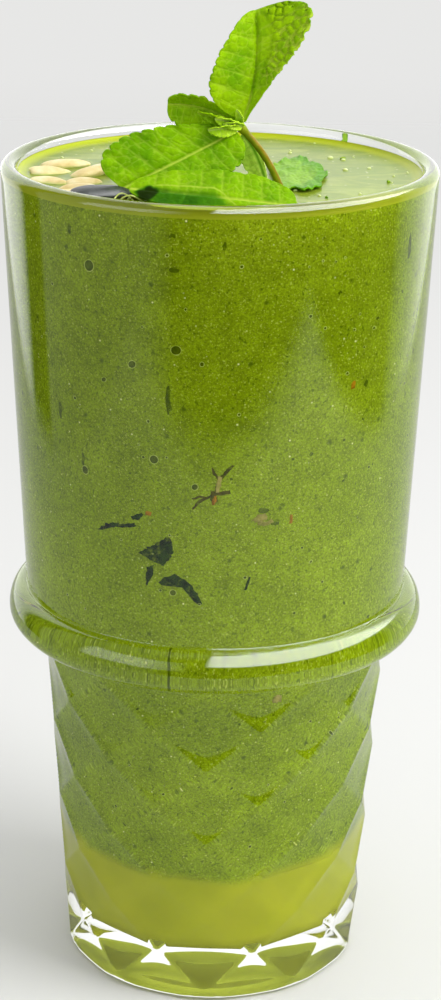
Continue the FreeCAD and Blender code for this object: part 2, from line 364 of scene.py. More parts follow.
def outer_profile():
    """Ring, shoulder, upper wall and rim, from the neck up."""
    points = []
    quarter = [math.pi / 2 * i / ARC_STEPS for i in range(1, ARC_STEPS + 1)]
    for t in quarter:
        r = NECK_R + (RING_R - NECK_R) * math.sin(t)
        points.append((r, RING_Z + (NECK_Z - RING_Z) * math.cos(t)))
    for t in quarter:
        r = SHOULDER_R + (RING_R - SHOULDER_R) * math.cos(t)
        points.append((r, RING_Z + (SHOULDER_Z - RING_Z) * math.sin(t)))
    for share in (0.005, 0.012, 0.025, 0.05, 0.1, 0.2, 0.35, 0.5, 0.65, 0.8, 0.9, 0.96, 0.985):
        r = SHOULDER_R + (RIM_R - SHOULDER_R) * share
        points.append((r, SHOULDER_Z + (LIP_Z - SHOULDER_Z) * share))
    for i in range(LIP_STEPS + 1):
        t = math.pi * i / LIP_STEPS
        points.append((RIM_R - LIP + LIP * math.cos(t), LIP_Z + LIP * math.sin(t)))
    return points


def inner_radius(z):
    """Inside radius of the glass at a height above the floor's fillet."""
    heights = (FLOOR_Z, CUT_TOP_Z, SHOULDER_Z, LIP_Z)
    radii = (body_radius(FLOOR_Z) - FOOT_WALL, body_radius(CUT_TOP_Z) - NECK_WALL,
             SHOULDER_R - SHOULDER_WALL, RIM_R - RIM_WALL)
    return float(np.interp(z, heights, radii))


def softened_radius(z):
    """Inside radius with the step behind the ring rounded off."""
    if abs(z - STEP_Z) >= STEP_REACH:
        return inner_radius(z)
    return sum(inner_radius(z + d * STEP_SOFTNESS) for d in (-1, -0.5, 0, 0.5, 1)) / 5


def wall_profile(low, high):
    """(radius, height) points up the inside wall between two heights."""
    between = [z for z in np.linspace(FLOOR_Z, LIP_Z, 150) if low < z < high]
    return [(softened_radius(z), z) for z in (low, *between, high)]


def floor_profile():
    """(radius, height) points from the axis out over the floor and up its fillet."""
    corner_r = inner_radius(FLOOR_Z + FLOOR_FILLET) - FLOOR_FILLET
    points = [(corner_r * share, FLOOR_Z) for share in (0, 0.25, 0.5, 0.75, 0.92)]
    for i in range(11):
        t = math.pi / 2 * i / 11
        z = FLOOR_Z + FLOOR_FILLET * (1 - math.cos(t))
        points.append((corner_r + FLOOR_FILLET * math.sin(t), z))
    return points


def foot_rows():
    """Rings under the foot: the shallow recess and the flat ring it stands on."""
    flat_r = FOOT_R - HEEL_R
    punt_r = flat_r - FOOT_RING
    shares = np.linspace(0.12, 1.0, 8)
    rings = [round_row(punt_r * share, PUNT_DEPTH * (1 - share ** 2)) for share in shares]
    return rings + [round_row(r, 0.0) for r in (punt_r + 1.5, flat_r - 1.2, flat_r)]


def cut_rows():
    """Rings of the diamond-cut body, from just above the table to the neck."""
    lowest = (0.02 - CUT_FIRST_Z) / CUT_PITCH
    neck = (NECK_Z - CUT_FIRST_Z) / CUT_PITCH
    evenly = np.arange(-CUT_STEPS, CUT_STEPS * CUT_ROWS) / CUT_STEPS
    between = [up for up in evenly if lowest + 0.02 < up < neck - 0.02]
    return [cut_row(up) for up in (lowest, lowest + 0.012, *between, neck)]


def make_glass():
    """Foot, cut body, ring, rim and inside as one closed wall."""
    inside = floor_profile()[1:] + wall_profile(FLOOR_Z + FLOOR_FILLET, LIP_Z - 0.2)
    rings = foot_rows() + cut_rows()
    rings += [round_row(r, z) for r, z in outer_profile() + inside[::-1]]
    points = [(0, 0, PUNT_DEPTH)] + [p for ring in rings for p in ring] + [(0, 0, FLOOR_Z)]
    faces = turned_faces(len(rings), SEGMENTS, True, True)
    clear = Shader("clear_glass", Base_Color=(0.985, 0.995, 0.985), Roughness=0.0, IOR=1.5,
                   Transmission_Weight=1.0)
    mesh_object("clear_glass_wall", points, faces, [clear.material],
                slot="glass", replaces=["glass"])


# ---- drink ----
def drink_colours(shader):
    """Green drink over yellow juice, with clouds, grain, mottling, flecks, pits and specks, and
    painted light that makes it paler low in the glass and darker near the top.
    """
    cloud = shader.noise(45, 4, 0.6)
    green = shader.ramp(cloud, (0.3, colour(131, 155, 10)), (0.5, colour(142, 166, 14)),
                        (0.7, colour(154, 178, 24)))
    grain = shader.noise(2500, 4, 0.8)
    green = shader.times(green, shader.ramp(grain, (0.36, 0.64), (0.5, 0.97), (0.64, 1.4)))
    mottle = shader.noise(330, 4, 0.65)
    green = shader.times(green, shader.ramp(mottle, (0.32, 0.84), (0.5, 1.0), (0.68, 1.12)))
    flecks = shader.ramp(shader.noise(2900, 2, 0.5), (0.61, 0.0), (0.69, 0.7))
    green = shader.mix(flecks, green, colour(208, 220, 84))
    uneven = shader.noise(1500, 2, 0.5, stretch=(1.0, 1.3, 0.9))
    pits = shader.ramp(uneven, (0.31, 0.7), (0.38, 0.0))
    green = shader.mix(pits, green, colour(84, 108, 4))
    green = shader.dots(green, colour(250, 250, 170), 560, (0.06, 0.12), (0.74, 0.86), 0.95)
    green = shader.dots(green, colour(228, 232, 120), 1050, (0.1, 0.2), (0.84, 0.96), 0.8)
    # painted light: the colour is raised low in the glass and lowered near the top, standing in for
    # the light from below
    rise = shader.span(shader.height(), LIFT_LOW_Z * MM, LIFT_HIGH_Z * MM, "LINEAR")
    lift = shader.ramp(rise, (0.0, 1.13), (0.3, 1.13), (0.62, 1.06), (1.0, 0.94))
    green = shader.times(green, lift)
    green = shader.dots(green, colour(74, 96, 6), 360, (0.08, 0.22), (0.80, 0.86), 0.75)
    juice = shader.ramp(cloud, (0.3, colour(188, 198, 22)), (0.7, colour(204, 208, 34)))
    wavy = shader.math("SUBTRACT", shader.noise(55, 2), 0.5)
    level = shader.math("MULTIPLY_ADD", wavy, 0.006, shader.height())
    share = shader.span(level, (LAYER_Z - 1.5) * MM, (LAYER_Z + 2.0) * MM)
    return shader.mix(share, juice, green)


def drink_material():
    """The drink seen through the glass that it wets."""
    shader = Shader("smoothie_through_glass", Roughness=0.6, Specular_IOR_Level=0.0)
    shader.base(drink_colours(shader))
    return shader.material


def surface_material():
    """The open surface: paler, with fine streaks of froth and a greener edge."""
    shader = Shader("smoothie_surface", Roughness=0.25, IOR=1.36, Specular_IOR_Level=0.1)
    streaks = shader.noise(120, 5, 0.65, stretch=(0.7, 1.5, 1.0), distortion=1.2)
    pale = shader.ramp(streaks, (0.32, colour(108, 131, 26)), (0.5, colour(120, 139, 34)),
                       (0.66, colour(142, 157, 54)))
    pale = shader.times(pale, shader.ramp(shader.noise(35, 3, 0.5), (0.3, 0.86), (0.7, 1.08)))
    pale = shader.dots(pale, colour(232, 234, 178), 700, (0.1, 0.2), (0.68, 0.78), 0.55)
    rimward = shader.ramp(shader.attribute("rimward"), (0.0, 0.0), (1.0, 1.0))
    shader.base(shader.mix(rimward, pale, colour(168, 180, 30)))
    shader.bump(shader.noise(230, 4, 0.6), 0.22, 0.0004)
    return shader.material


def underside_material():
    """The juice's underside: the thick glass base mirrors it at a low angle. Its colour is painted
    brighter than the juice above, as painted light for the heel that the shadowed floor under the
    glass leaves dark.
    """
    # painted light: a brighter yellow than the juice, so that the glass heel shows a lit yellow-green
    shader = Shader("juice_underside", Base_Color=colour(212, 220, 34), Roughness=0.5,
                    Specular_IOR_Level=0.05)
    mirror = shader.node("BsdfGlossy", Roughness=0.25, Color=colour(186, 198, 62))
    grazing = shader.node("Fresnel", IOR=1.36 / 1.5)
    shader.blend(grazing.outputs[0], shader.bsdf, mirror)
    return shader.material


def wider(profile):
    """Profile that reaches a little into the glass."""
    return [(r + INTO_WALL if r > 0 else 0, z) for r, z in profile]


def make_smoothie(wall):
    """The green drink, with a flat joint below and a surface that climbs the wall a little."""
    body = wider(wall_profile(LAYER_Z, SURFACE_Z))
    low_r, rim_r = body[0][0], body[-1][0]
    joint = [(0, LAYER_Z), (low_r - 1.0, LAYER_Z), (low_r - 0.03, LAYER_Z), (low_r, LAYER_Z + 0.03)]
    top = [(rim_r - inward, SURFACE_Z + rise) for inward, rise in MENISCUS]
    top += [(rim_r * share, SURFACE_Z) for share in (0.84, 0.7, 0.55, 0.4, 0.2, 0)]
    piece = turned("smoothie_drink", joint + body[1:] + top, [wall, surface_material()],
                   slot="smoothie", replaces=["smoothie"])
    second_material(piece, lambda z: z > SURFACE_Z - 0.01)
    reach = [math.hypot(v.co.x, v.co.y) / MM for v in piece.data.vertices]
    paint(piece, "rimward", [smooth_step((r - rim_r + 2.6) / 2.0) for r in reach])


def make_juice(wall):
    """The settled layer, down to the glass floor."""
    low = [(r, z - INTO_WALL) for r, z in wider(floor_profile())]
    sides = wider(wall_profile(FLOOR_Z + FLOOR_FILLET, LAYER_Z))
    r = sides[-1][0]
    joint = [(r, LAYER_Z - 0.03), (r - 0.03, LAYER_Z), (r - 1.0, LAYER_Z), (0, LAYER_Z)]
    piece = turned("settled_juice", low + sides[:-1] + joint, [wall, underside_material()],
                   slot="juice", replaces=["juice_layer"])
    second_material(piece, lambda z: z < FLOOR_Z + 0.3)


def make_drink():
    wall = drink_material()
    make_smoothie(wall)
    make_juice(wall)


# ---- bits seen through the wall ----
def along_wall(angle, z, s, t, out=0.0):
    """Point at the inside wall, s to the right and t above a spot that is an angle to the right
    of the front."""
    r = inner_radius(z + t) + INTO_WALL + out
    a = math.radians(angle + math.degrees(s / inner_radius(z + t)) - 90)
    return np.array([r * math.cos(a), r * math.sin(a), z + t])


def flake(angle, z, outline, high=0.05):
    """Thin patch pressed against the glass; its outline is measured from the spot."""
    middle = np.mean(outline, axis=0)
    rings = []
    for share, out in ((1.0, -0.12), (0.98, high * 0.6), (0.6, high), (0.25, high)):
        inset = [middle + (np.array(p) - middle) * share for p in outline]
        rings.append([along_wall(angle, z, *p, out) for p in inset])
    points = [p for ring in rings for p in ring] + [along_wall(angle, z, *middle, high)]
    return points, turned_faces(len(rings), len(outline), False, True)


def ragged(outline, step=0.35, rough=0.14):
    """Outline with finer, uneven edges."""
    points = []
    for a, b in zip(outline, outline[1:] + outline[:1]):
        a, b = np.array(a, float), np.array(b, float)
        count = max(1, int(np.linalg.norm(b - a) / step))
        for i in range(count):
            shake = np.array([rng.gauss(0, rough), rng.gauss(0, rough)])
            points.append(tuple(a + (b - a) * i / count + shake))
    return points


def strand(path, width):
    """Outline of a thin bit that follows a path of points and tapers at both ends."""
    path = [np.array(p, float) for p in path]
    left, right = [], []
    for i, p in enumerate(path):
        ahead = path[min(i + 1, len(path) - 1)] - path[max(i - 1, 0)]
        side = np.array([-ahead[1], ahead[0]]) / (np.linalg.norm(ahead) + 1e-9)
        taper = 0.35 + 0.65 * math.sin(math.pi * (i + 0.5) / len(path))
        half = width / 2 * taper * rng.uniform(0.75, 1.25)
        left.append(tuple(p + side * half))
        right.append(tuple(p - side * half))
    return left + right[::-1]


def sliver(angle, z, path, width, rough=0.14, step=0.35, high=0.05):
    """Thin ragged flake that follows a path."""
    return flake(angle, z, ragged(strand(path, width), step, rough), high)


def oval(width, tall, count, lean=0.0):
    """Outline of an ellipse that leans by an angle in radians."""
    turns = round_angles(count)
    return [spin(width / 2 * math.cos(t), tall / 2 * math.sin(t), lean) for t in turns]


def bits_material(name, dark, light, roughness=0.6, sheen=0.0, worn=None):
    """Colour of small bits; worn is a third colour that shows through in patches."""
    shader = Shader(name, Roughness=roughness, Specular_IOR_Level=sheen)
    tone = shader.ramp(shader.noise(900, 3, 0.6), (0.35, colour(*dark)), (0.65, colour(*light)))
    if worn:
        patches = shader.ramp(shader.noise(760, 5, 0.7), (0.54, 0.0), (0.66, 0.9))
        tone = shader.mix(patches, tone, colour(*worn))
    shader.base(tone)
    return shader.material


def make_bits(name, parts, dark, light, **options):
    """One piece of many small parts, in a material of its own; options are the material's."""
    mesh_object(name, *join(parts), [bits_material(name + "_colour", dark, light, **options)])


def make_leaf_flakes():
    """Torn bits of leaf, each at its own angle and height."""
    kite = [(-3.9, -0.8), (-1.2, 1.0), (1.9, 3.1), (2.5, 1.2), (2.8, 0.1), (0.8, -2.8), (-1.6, -1.9)]
    torn = [(-0.5, 1.9), (0.5, 2.3), (0.6, 0.6), (0.0, -0.6), (-0.8, -2.0), (-0.9, 0.0)]
    bend = [(-3.4, -0.9), (-2.2, 0.1), (-0.6, 0.5), (0.9, 0.0), (2.1, -1.3), (3.4, -3.4), (4.0, -4.4)]
    curl = strand(bend, 1.5)
    parts = [
        flake(-16.5, 95.0, ragged(kite)),
        flake(-19.3, 89.9, ragged(torn, rough=0.1)),
        flake(-11.0, 89.6, ragged(curl, 0.5, 0.08)),
        sliver(9.6, 89.3, [(-0.4, -1.3), (0.0, 0.0), (0.4, 1.3)], 0.5, 0.03),
        sliver(-23.2, 101.0, [(-1.0, -0.3), (0.2, 0.1), (1.2, 0.9)], 0.9, 0.08),
        sliver(-30.4, 98.6, [(-3.6, -1.5), (-2.0, -0.4), (0.0, 0.2), (1.8, 0.3), (4.2, 0.9)], 0.9),
    ]
    make_bits("leaf_flakes", parts, (8, 38, 0), (44, 76, 0), worn=(112, 134, 12))


def make_twig():
    """Star of thin dark stalks."""
    arms = [
        ([(0.0, 0.0), (0.3, 1.7), (0.9, 3.4), (2.2, 5.0), (3.1, 5.8)], 0.55),
        ([(0.6, 3.0), (-0.2, 4.4), (-0.5, 5.4)], 0.45),
        ([(-0.2, 0.2), (-1.4, -0.3), (-2.6, -1.1), (-3.9, -2.6)], 0.6),
        ([(-1.2, -0.3), (-2.6, -0.1), (-3.8, -0.7)], 0.35),
        ([(0.2, 0.4), (1.4, 0.6), (2.6, 0.8)], 0.9),
        ([(-0.4, 0.8), (-0.2, -0.6), (0.3, -1.2)], 1.0),
    ]
    parts = [sliver(-0.3, 106.2, path, width, 0.06, step=0.4) for path, width in arms]
    make_bits("twig_star", parts, (62, 66, 2), (100, 96, 12), worn=(122, 140, 12))


def make_husks():
    """The twig's pale stem and pale bits of husk."""
    husk = [(-1.4, -0.6), (-0.3, 0.5), (1.0, 0.6), (1.4, -0.4), (0.2, -0.9)]
    low_husk = [(-1.0, -0.6), (0.8, -0.9), (1.1, 0.8), (-0.6, 0.9)]
    parts = [
        sliver(0.3, 108.3, [(0.0, -1.5), (0.2, 0.0), (0.5, 1.7)], 0.9, 0.05, high=0.09),
        flake(12.6, 102.0, ragged(husk), 0.08),
        sliver(14.3, 101.0, [(-1.5, -0.2), (0.0, -0.4), (1.4, 0.2)], 0.9, 0.1, high=0.07),
        flake(22.4, 63.9, ragged(low_husk), 0.08),
    ]
    make_bits("husk_bits", parts, (150, 148, 62), (192, 178, 96))


def make_orange_bits():
    """The twig's reddish heart and orange bits of peel."""
    chip = [(-0.6, -0.3), (0.5, -0.4), (0.6, 0.4), (-0.4, 0.4)]
    high_chip = [(-0.5, -0.9), (0.4, -0.6), (0.5, 0.9), (-0.4, 0.6)]
    parts = [
        sliver(-0.5, 105.4, [(-0.2, -0.9), (0.0, 0.0), (0.2, 0.9)], 0.7, 0.05, high=0.1),
        sliver(21.9, 101.1, [(0.0, -0.8), (0.2, 0.0), (0.1, 0.9)], 0.6, 0.04, high=0.08),
        flake(-19.6, 102.0, ragged(chip, rough=0.06), 0.08),
        flake(40.4, 124.6, ragged(high_chip, rough=0.08), 0.08),
    ]
    make_bits("orange_bits", parts, (140, 92, 6), (196, 140, 20))


def make_smudges():
    """Dark marks: bits of leaf that show at the wall, as (angle, height, width, length)."""
    spots = [
        (-13.4, 123.6, 0.9, 5.5), (-11.6, 147.0, 1.9, 0.9), (-12.0, 153.0, 1.1, 0.8),
        (1.5, 151.5, 0.7, 1.5), (-36.5, 146.0, 2.1, 1.3), (13.6, 103.2, 1.9, 1.0),
        (17.4, 100.6, 1.6, 0.8), (45.4, 124.3, 0.9, 1.4), (61.0, 147.6, 1.0, 4.8),
        (33.9, 142.1, 0.8, 0.6), (48.0, 136.0, 0.9, 0.6), (-42.6, 152.0, 0.8, 2.0),
        (-13.9, 70.8, 0.35, 4.4), (-41.0, 110.0, 0.8, 2.6), (-49.5, 118.0, 0.8, 3.4),
        (27.5, 113.0, 0.7, 0.7),
    ]
    parts = []
    for angle, z, width, tall in spots:
        parts.append(flake(angle, z, ragged(oval(width, tall, 14), 0.5, 0.09), 0.04))
    for _ in range(SCATTERED_SMUDGES):
        angle, z = rng.uniform(-175, 175), rng.uniform(34, 152)
        size = rng.uniform(0.2, 0.55)
        tall = size * rng.uniform(0.5, 2.2)
        lean = rng.uniform(0, math.pi)
        parts.append(flake(angle, z, oval(size, tall, 9, lean), 0.04))
    make_bits("dark_smudges", parts, (74, 94, 2), (100, 120, 6), worn=(126, 148, 12))


def make_bubbles():
    """Air bubbles against the glass, as (angle, height, radius): a pale ring round a dark core.
    None lie behind the glass ring, which would smear them."""
    spots = [
        (-11.2, 132.8, 1.0), (-23.7, 129.5, 0.85), (-17.7, 112.4, 0.9), (-32.6, 125.9, 0.6),
        (-4.2, 130.5, 0.5), (-36.2, 146.1, 1.15), (8.8, 90.5, 0.4), (-6.0, 107.8, 0.7),
        (-8.6, 140.2, 0.35), (-14.0, 113.0, 0.3), (-12.4, 87.2, 0.7), (-19.2, 119.4, 0.4),
        (-40.4, 108.0, 0.9), (38.0, 127.0, 0.4), (29.8, 136.0, 0.35),
    ]
    for _ in range(SCATTERED_BUBBLES):
        spots.append((rng.uniform(-170, 170), rng.uniform(32, 153), rng.uniform(0.16, 0.42)))
    around, ring_low, ring_high = 18, 62, 80
    rings, cores = [], []
    for angle, z, r in spots:
        if ring_low < z < ring_high:
            continue
        squeeze, lean = rng.uniform(0.8, 1.0), rng.uniform(0, math.pi)
        thick = 0.09 + 0.05 * r
        ring = []
        for inset, out in ((0.0, -0.08), (0.2, 0.05), (1.0, 0.05), (1.3, -0.08)):
            width = 2 * (r - thick * inset)
            outline = oval(width, width * squeeze, around, lean)
            ring += [along_wall(angle, z, x, y, out) for x, y in outline]
        rings.append((ring, turned_faces(4, around, False, False)))
        if r > 0.3 or rng.random() < 0.6:
            width = 2 * (r - thick * 1.1)
            cores.append(flake(angle, z, oval(width, width * squeeze, around, lean), 0.02))
    make_bits("bubble_rings", rings, (168, 190, 52), (216, 226, 118))
    make_bits("bubble_cores", cores, (72, 90, 2), (100, 118, 8))


# ---- mint ----
NODE_RISE = 10.9
NODE = np.array([3.6, -13.0, SURFACE_Z + NODE_RISE])  # where the leaves meet the stem
STEM_ENTRY = np.array([10.9, -13.0, SURFACE_Z])
FLOATING = 0.45 - NODE_RISE  # height of a leaf on the drink, from the node
MIDRIB_HALF = 0.34  # half width of a midrib
NET_WIDTH = 0.22  # width of the finest veins, in cells
# One half of a blade: its half width, where along the midrib it is widest, how far it sweeps
# towards the tip and lifts off the plane (in degrees), and how blunt its outline is.
Side = namedtuple("Side", "width widest sweep lift blunt")
# The rest of a leaf: rise of its margins, number of side veins and of teeth, depth of the teeth,
# relief between the veins, fine cells to a millimetre, waves of the margin, depth of the fold
# along the midrib, puffed cells on the right half that also get a painted highlight, and the
# stretch of the blade that gets painted shade, as if another leaf shaded it.
LEAF = dict(cup=0.3, laterals=7, teeth=11, depth=0.05, rugose=0.2, cells=0.7, wave=0.15, fold=0.0,
            emboss=0.0, dim=None, thickness=0.3, rows=150, columns=56)


def half_width(side, u, teeth, depth):
    """Half width of the blade at u, with rounded teeth cut into it."""
    bulge = math.sin(math.pi * u ** (math.log(0.5) / math.log(side.widest)))
    outline = side.width * max(0.0, bulge) ** side.blunt
    tooth = math.sin(math.pi * (u * teeth + 0.12 * math.sin(2 * math.pi * u * teeth)))
    cut = 1 - abs(tooth) ** 0.7
    return outline * (1 - depth * cut) + 0.45 * (1 - u) ** 3 + 0.12


def blade_shadow(window, u, v, spot):
    """How much painted shade a point of a blade under another leaf gets, darkest in a hollow near its
    tip, and how near it is to the shadow's line.
    """
    start, stop = window
    line = -0.7 + smooth_step((u - start) / 0.26)
    along = smooth_step((u - start) / 0.08) * smooth_step((stop - u) / 0.06)
    wavy = 0.12 * noise.noise(spot * 0.6)
    below = 0.5 * along * smooth_step((line - v + wavy) / 0.4)
    hollow = math.hypot((u - 0.905) / 0.05, (v + 0.5) / 0.75) + 0.4 * noise.noise(spot * 0.7)
    dim = max(below, smooth_step((1.3 - hollow) / 0.5))
    return dim, 0.8 * along * math.exp(-((v - line) / 0.045) ** 2)


def blade_marks(spec, u, v, half, spot):
    """How pale a point of a blade is painted for its veins and for a painted highlight, how much
    painted shade it gets, and how far it puffs out.
    """
    laterals, fold, emboss = spec["laterals"], spec["fold"], spec["emboss"]
    cells = noise.voronoi(spot * spec["cells"])[0]
    net = min(1.0, (cells[1] - cells[0]) / NET_WIDTH)
    middle = math.exp(-(abs(v) * half / MIDRIB_HALF) ** 2)
    phase = (u * laterals + (0.0 if v > 0 else 0.4)) % 1.0
    near = min(phase, 1 - phase) / laterals
    lateral = math.exp(-(near / (0.011 + 0.004 * (1 - abs(v)))) ** 2)
    lateral *= smooth_step((1.0 - abs(v)) / 0.12)
    pale = middle * (1 if fold == 0 else smooth_step((0.42 - u) / 0.2))
    vein, dim = max(pale, 0.45 * lateral, 0.5 * (1 - net)), 0.0
    # painted highlight: pale lines on the net of fine cells over the right half, where the cells also
    # puff out
    if emboss:
        highlight_span = smooth_step((u - 0.25) / 0.15) * smooth_step((0.95 - u) / 0.2)
        vein = max(vein, highlight_span * smooth_step((v - 0.2) / 0.25) * (1 - net) ** 0.6)
    # painted shade: the veins fade where the shade is painted, and a pale line marks the shadow's
    # edge
    if spec["dim"]:
        dim, line = blade_shadow(spec["dim"], u, v, spot)
        vein = max(vein * (1 - dim), line)
    pillow = 0.6 * math.sin(math.pi * phase) ** 0.7 * smooth_step(abs(v) / 0.1) + 0.4 * net
    puff = spec["rugose"] * pillow - (0.25 + fold) * middle
    puff += emboss * net * smooth_step((v - 0.2) / 0.2) * smooth_step((u - 0.3) / 0.2)
    puff += spec["wave"] * v * v * math.sin(u * laterals * math.pi + (1 if v > 0 else 0))
    fade = smooth_step(u / 0.12) * smooth_step((1 - u) / 0.08) * min(1.0, half / 2.5)
    return vein, dim, puff * fade


def sheet_normals(face):
    """Unit normals of a grid of points."""
    normals = np.cross(np.gradient(face, axis=1), np.gradient(face, axis=0))
    return normals / (np.linalg.norm(normals, axis=2, keepdims=True) + 1e-12)


def leaf_sheet(spec):
    """Grid of points of a blade, with how pale each is painted for veins and highlight, how near the
    margin it is, how much painted shade it gets and how far it stands out of the plane."""
    rows, columns = spec["rows"], spec["columns"]
    face = np.zeros((rows + 1, columns + 1, 3))
    vein, edge, dim, puff = (np.zeros((rows + 1, columns + 1)) for _ in range(4))
    for i in range(rows + 1):
        u = i / rows
        centre, ahead = bezier(spec["midrib"], u), bezier_ahead(spec["midrib"], u)
        side = unit(spec["across"] - ahead * (spec["across"] @ ahead))
        normal = np.cross(side, ahead)
        for j in range(columns + 1):
            v = 2 * j / columns - 1
            v = math.copysign(abs(v) ** 0.85, v)
            which = spec["right"] if v > 0 else spec["left"]
            sweep, lift = math.radians(which.sweep), math.radians(which.lift)
            half = half_width(which, u, spec["teeth"], spec["depth"] * abs(v) ** 3)
            out = side * math.copysign(math.cos(lift), v) + normal * math.sin(lift)
            out = out * math.cos(sweep) + ahead * math.sin(sweep)
            cupped = spec["cup"] * v * v * math.sin(math.pi * u)
            face[i, j] = centre + out * abs(v) * half + normal * cupped
            edge[i, j] = abs(v)
            vein[i, j], dim[i, j], puff[i, j] = blade_marks(spec, u, v, half, Vector(face[i, j]))
    return face, vein, edge, dim, puff


def two_sided(face, puff, thickness):
    """Closed sheet: upper face, lower face and the rim between them."""
    normals = sheet_normals(face)
    top = face + normals * (puff[..., None] + thickness / 2)
    low = face + normals * (puff[..., None] * 0.9 - thickness / 2)
    rows, columns = face.shape[:2]
    points = np.concatenate([top.reshape(-1, 3), low.reshape(-1, 3)])

    def at(i, j, side):
        return side * rows * columns + i * columns + j

    faces = []
    for i in range(rows - 1):
        for j in range(columns - 1):
            faces.append((at(i, j, 0), at(i, j + 1, 0), at(i + 1, j + 1, 0), at(i + 1, j, 0)))
            faces.append((at(i, j, 1), at(i + 1, j, 1), at(i + 1, j + 1, 1), at(i, j + 1, 1)))
    ring = [(i, 0) for i in range(rows)]
    ring += [(rows - 1, j) for j in range(1, columns)]
    ring += [(i, columns - 1) for i in range(rows - 2, -1, -1)]
    ring += [(0, j) for j in range(columns - 2, 0, -1)]
    for (i, j), (k, l) in zip(ring, ring[1:] + ring[:1]):
        faces.append((at(i, j, 0), at(k, l, 0), at(k, l, 1), at(i, j, 1)))
    return points, faces


def leaf_material(name, blade, shade, vein, edge=None):
    """Leaf that lets some light through; edge is a colour for its margin."""
    shader = Shader(name, Roughness=0.42, IOR=1.4, Specular_IOR_Level=0.1)
    patches = shader.noise(150, 4, 0.6)
    tone = shader.ramp(patches, (0.32, colour(*shade)), (0.62, colour(*blade)))
    tone = shader.times(tone, shader.ramp(shader.noise(1500, 3, 0.6), (0.3, 0.82), (0.7, 1.12)))
    if edge:
        margin = shader.ramp(shader.attribute("edge"), (0.5, 0.0), (0.78, 1.0))
        tone = shader.mix(margin, tone, colour(*edge))
    lines = shader.ramp(shader.attribute("vein"), (0.25, 0.0), (0.95, 0.9))
    tone = shader.mix(lines, tone, colour(*vein))
    # painted shade: the dim attribute darkens the blade's colour, to near black where it is highest
    shadow = shader.ramp(shader.attribute("dim"), (0.0, 1.0), (0.5, (0.22, 0.42, 0.4)),
                         (1.0, (0.05, 0.06, 0.1)))
    tone = shader.times(tone, shadow)
    shader.base(tone)
    shader.bump(shader.noise(1100, 3, 0.6), 0.3, 0.0002)
    inside = shader.mix(0.6, tone, colour(190, 230, 30))
    through = shader.node("BsdfTranslucent", Color=inside)
    shader.blend(0.22, shader.bsdf, through)
    return shader.material


def leaf(name, material, midrib, across, left, right, replaces=(), **changes):
    """Mint leaf along a bent midrib, whose three points are measured from the node."""
    spec = {**LEAF, **changes, "across": np.array(across, float)}
    spec["midrib"] = [NODE + np.array(p) for p in midrib]
    spec["left"], spec["right"] = Side(*left), Side(*right)
    face, vein, edge, dim, puff = leaf_sheet(spec)
    points, faces = two_sided(face, puff, spec["thickness"])
    piece = mesh_object(name, points, faces, [material], slot="mint_leaf", replaces=replaces)
    paint(piece, "vein", np.concatenate([vein.ravel(), vein.ravel() * 0.8]))
    paint(piece, "edge", np.tile(edge.ravel(), 2))
    paint(piece, "dim", np.tile(dim.ravel(), 2))


def make_sprig_leaves():
    """The six large leaves of the sprig."""
    bright = leaf_material("mint_bright", (156, 198, 2), (108, 160, 1), (192, 216, 66))
    deep = leaf_material("mint_deep", (144, 194, 2), (90, 148, 1), (194, 218, 74))
    # Partly painted light: the underside's own pale colour, painted brighter still for the back leaf,
    # which lies in shade.
    under = leaf_material("mint_underside_and_painted_light", (226, 255, 110), (196, 246, 70), (84, 150, 10))
    # The upright leaf gets a painted highlight over the puffed cells of its right half.
    leaf("mint_leaf_upright_leaf", bright,
         [(0.3, 0, 1.0), (3.4, -0.4, 9.1), (2.3, 3.5, 19.9)],
         (1, 0.1, 0), (7.9, 0.30, 8, 8, 0.55), (10.6, 0.76, 24, 16, 0.8),
         replaces=["mint_leaf_upright"], cup=1.2, laterals=6, rugose=0.26,
         fold=0.35, emboss=0.5)
    leaf("mint_leaf_small_leaf", bright,
         [(-0.9, 0.5, 0.8), (-6.1, 1.0, 4.1), (-12.9, -0.2, 4.1)],
         (0, -0.35, 1), (4.2, 0.62, 10, 20, 0.4), (3.1, 0.66, 14, 20, 0.4),
         replaces=["mint_leaf_small"], cup=0.4, laterals=6, teeth=7, depth=0.16, rugose=0.24,
         cells=0.8, rows=110, columns=44)
    leaf("mint_bud_leaf", bright,
         [(-0.9, -0.8, 0.7), (-4.0, -1.9, 2.1), (-7.6, -2.8, 3.1)],
         (0, -0.5, 1), (1.2, 0.5, 5, 40, 0.6), (1.4, 0.5, 5, 40, 0.6),
         replaces=["mint_bud"], cup=0.2, teeth=9, depth=0.2, cells=1.0,
         thickness=0.26, rows=70, columns=24)
    leaf("mint_leaf_left_leaf", deep,
         [(-0.9, -0.8, -0.5), (-7.6, -2.5, -4.0), (-20.6, -7.6, FLOATING + 0.9)],
         (-0.15, 0.35, 1), (6.6, 0.42, -8, 20, 0.52), (9.0, 0.71, 29, 8, 0.31),
         replaces=["mint_leaf_left"], cup=0.8, laterals=8, teeth=12, depth=0.085)
    # The front leaf gets painted shade over its lower half and in a painted hollow near its tip.
    leaf("mint_leaf_front_leaf", deep,
         [(9.6, -17.6, FLOATING + 0.3), (-1.6, -16.7, FLOATING + 1.5),
          (-19.2, -10.6, FLOATING + 1.5)],
         (0, 0.9, 0.4), (4.0, 0.5, 5, -16, 0.6), (6.0, 0.46, 10, 8, 0.4),
         replaces=["mint_leaf_front"], dim=(0.3, 0.9), laterals=8)
    leaf("mint_leaf_back_leaf", under,
         [(0.3, 0.9, -1.2), (2.6, 1.3, -3.6), (4.7, 2.1, FLOATING + 0.2)],
         (-1, -0.2, 0.1), (0.8, 0.5, 0, -10, 0.6), (3.0, 0.5, 10, -20, 0.5),
         replaces=["mint_leaf_back"], laterals=6, teeth=7, depth=0.08, cells=0.6,
         rows=90, columns=32)


